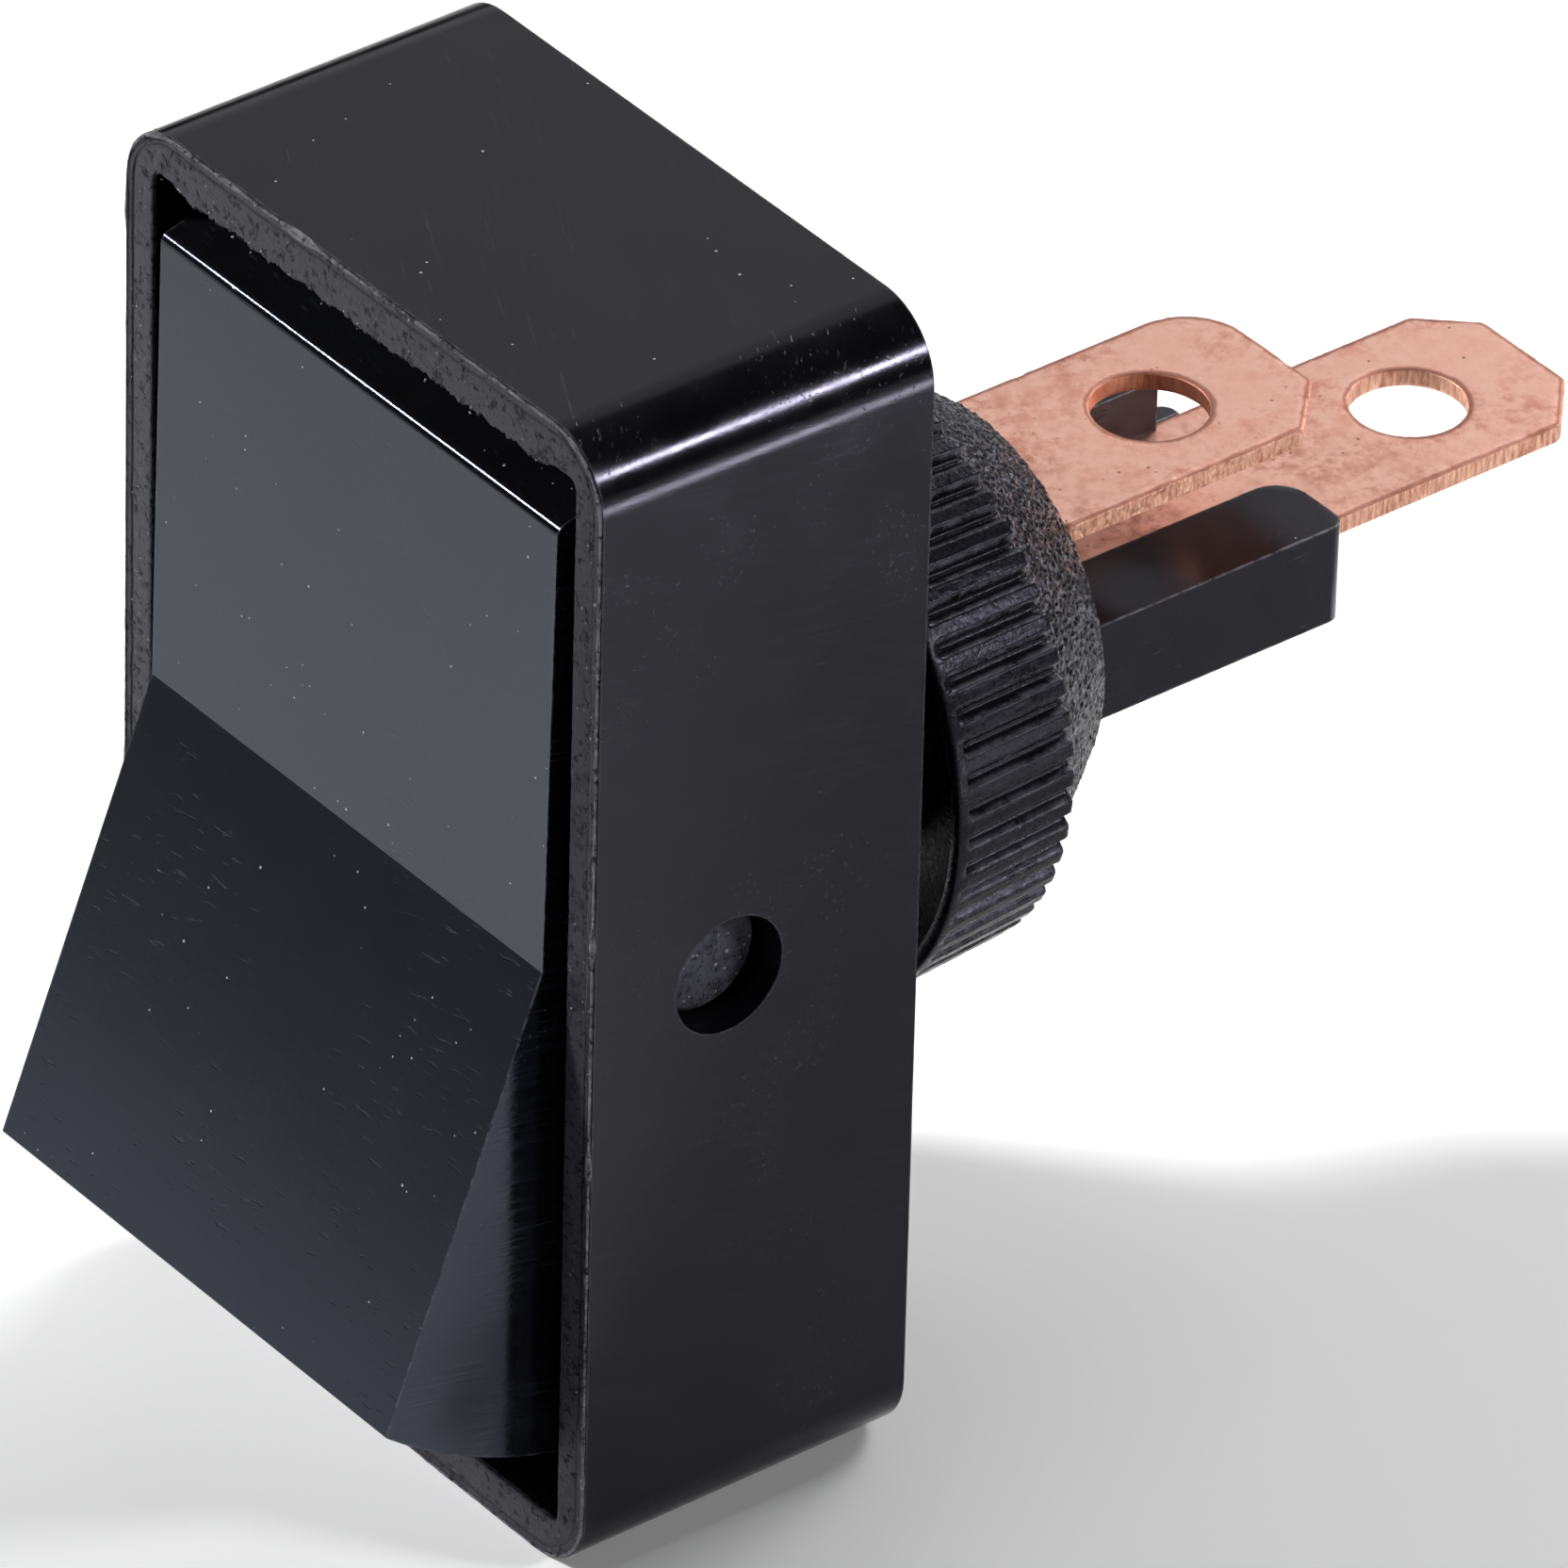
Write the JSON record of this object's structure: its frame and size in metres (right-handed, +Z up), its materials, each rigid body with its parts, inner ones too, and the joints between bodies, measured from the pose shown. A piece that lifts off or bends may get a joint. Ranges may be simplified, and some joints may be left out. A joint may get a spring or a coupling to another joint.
{
  "type": "panel-mount rocker switch",
  "caption": "Single-pole rocker switch in a deep rectangular bezel, with a round neck and ring nut for one panel hole and two copper blade terminals.",
  "frame": {"origin": "centre of the bezel's back face, the face that seats on the panel, on the axis of the neck", "axes": "+X right seen from the front, +Y back through the panel along the neck and blades, +Z up"},
  "size_m": [0.0198, 0.0434, 0.0344],
  "materials": {
    "housing_plastic": "semi-gloss black moulding with fine scratches",
    "rocker_plastic": "semi-gloss black moulding, smooth press faces",
    "pin_plastic": "grained black plastic",
    "plunger_plastic": "natural acetal",
    "spring_steel": "bright spring wire",
    "contact_brass": "stamped sheet brass",
    "contact_silver": "silver-alloy button",
    "rivet_brass": "bright brass rivet",
    "terminal_copper": "mill-finish copper strip with light tarnish",
    "base_plastic": "gloss black phenolic moulding",
    "nut_plastic": "black nylon, spark-grained shoulder"
  },
  "bodies": {
    "housing_body": {"housing": "housing_plastic", "pivot_pin_left": "pin_plastic", "pivot_pin_right": "pin_plastic", "fixed_contact": "contact_silver", "contact_cradle": "contact_brass", "cradle_rivet": "rivet_brass", "upper_terminal": "terminal_copper", "lower_terminal": "terminal_copper", "terminal_base": "base_plastic"},
    "rocker": {"rocker_paddle": "rocker_plastic", "plunger_spring": "spring_steel"},
    "plunger_body": {"plunger": "plunger_plastic"},
    "contact_body": {"rocking_contact": "contact_brass", "moving_contact": "contact_silver"},
    "nut": {"ring_nut": "nut_plastic"}
  },
  "joints": [
    {"name": "rocker_tilt", "type": "hinge", "parent": "housing_body", "child": "rocker", "pos_m": [0, -0.00604, 0], "axis": [1, 0, 0], "range_deg": [0, 22]},
    {"name": "contact_rock", "type": "hinge", "parent": "housing_body", "child": "contact_body", "pos_m": [0, 0.0045, 0], "axis": [1, 0, 0], "range_deg": [-14, 0]},
    {"name": "plunger_press", "type": "slide", "parent": "rocker", "child": "plunger_body", "axis": [0, -0.9816, 0.1908], "range_m": [0, 0.0008], "stiffness_N_per_m": 60, "springref_m": -0.01, "deforming": ["plunger_spring"]},
    {"name": "nut_run", "type": "slide", "parent": "housing_body", "child": "nut", "axis": [0, 1, 0], "range_m": [-0.00225, 0.0262]}
  ],
  "couplings": [
    {"joint": "contact_rock", "follows": "rocker_tilt", "ratio": -0.6363}
  ]
}
